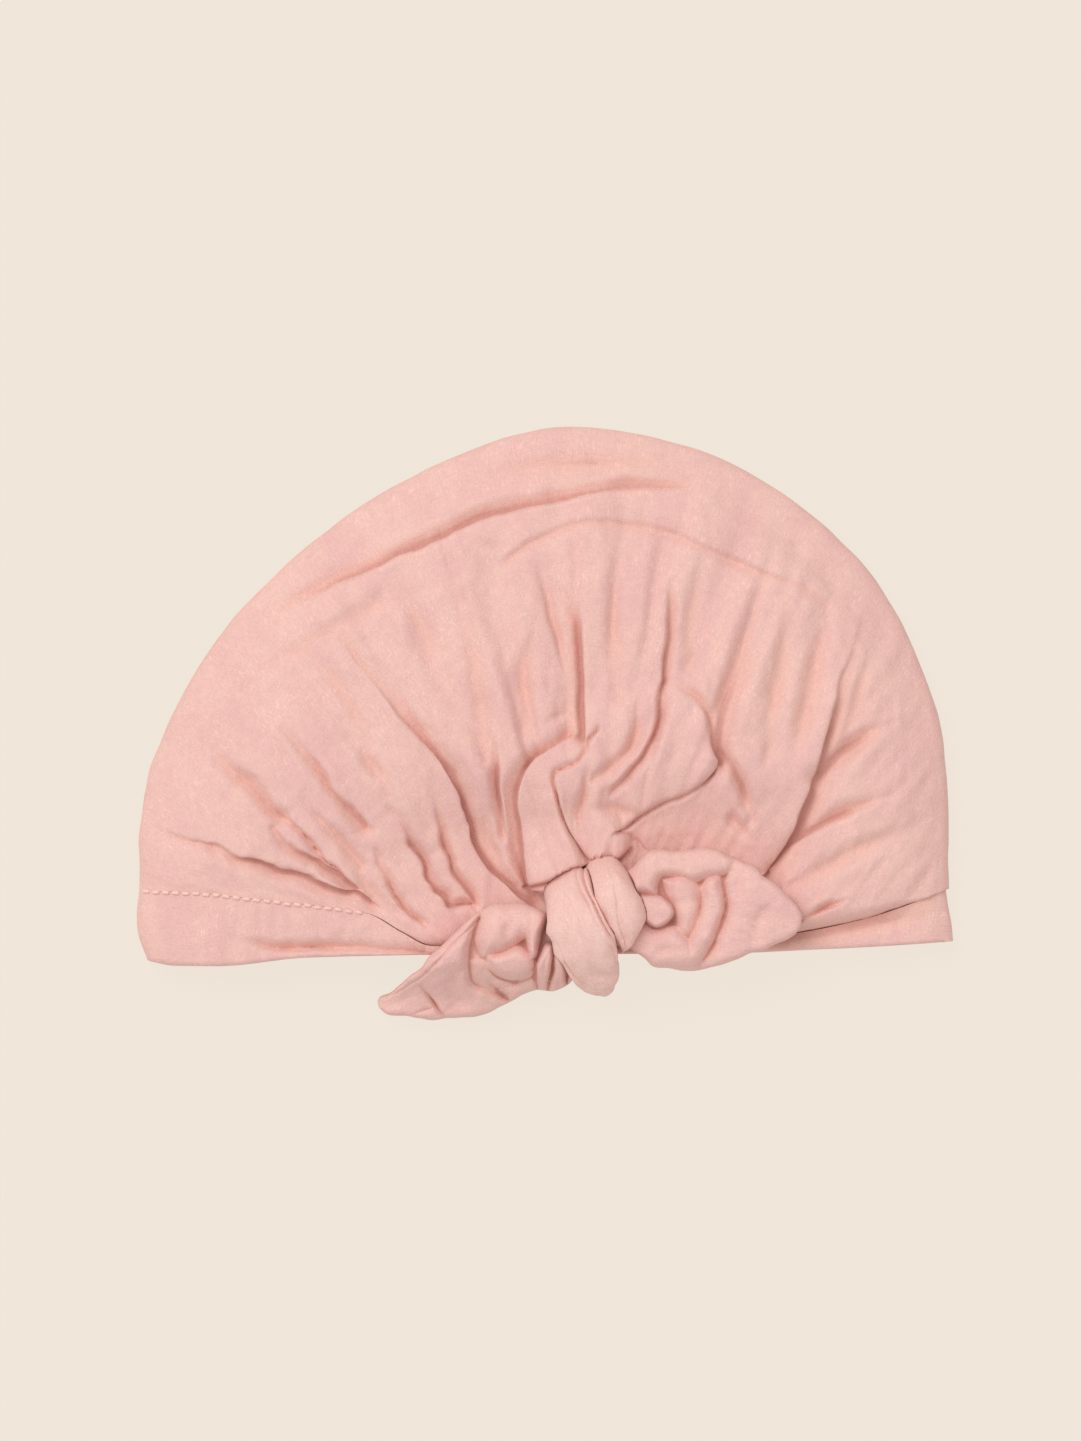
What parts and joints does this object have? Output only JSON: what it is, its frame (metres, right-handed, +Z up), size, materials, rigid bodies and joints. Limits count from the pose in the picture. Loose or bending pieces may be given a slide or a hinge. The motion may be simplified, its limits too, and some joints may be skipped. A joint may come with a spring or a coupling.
{
  "type": "knotted baby beanie",
  "caption": "Knotted baby beanie in crinkled cotton gauze, lying flat on its back, its front gathered into a knot with soft ears above a stitched hem.",
  "frame": {"origin": "on the floor under the middle of the beanie's box as it lies", "axes": "+Z up from the floor, -Y out of the hem, +Y to the top of the crown, +X to the right as seen from above with the hem nearest"},
  "size_m": [0.1996, 0.1449, 0.03],
  "materials": {
    "gauze": "matte crinkled double gauze"
  },
  "bodies": {
    "root": {"crown": "gauze", "hem_band": "gauze", "ear_left": "gauze", "ear_right": "gauze", "knot_wrap": "gauze", "knot_loop": "gauze"}
  },
  "joints": []
}
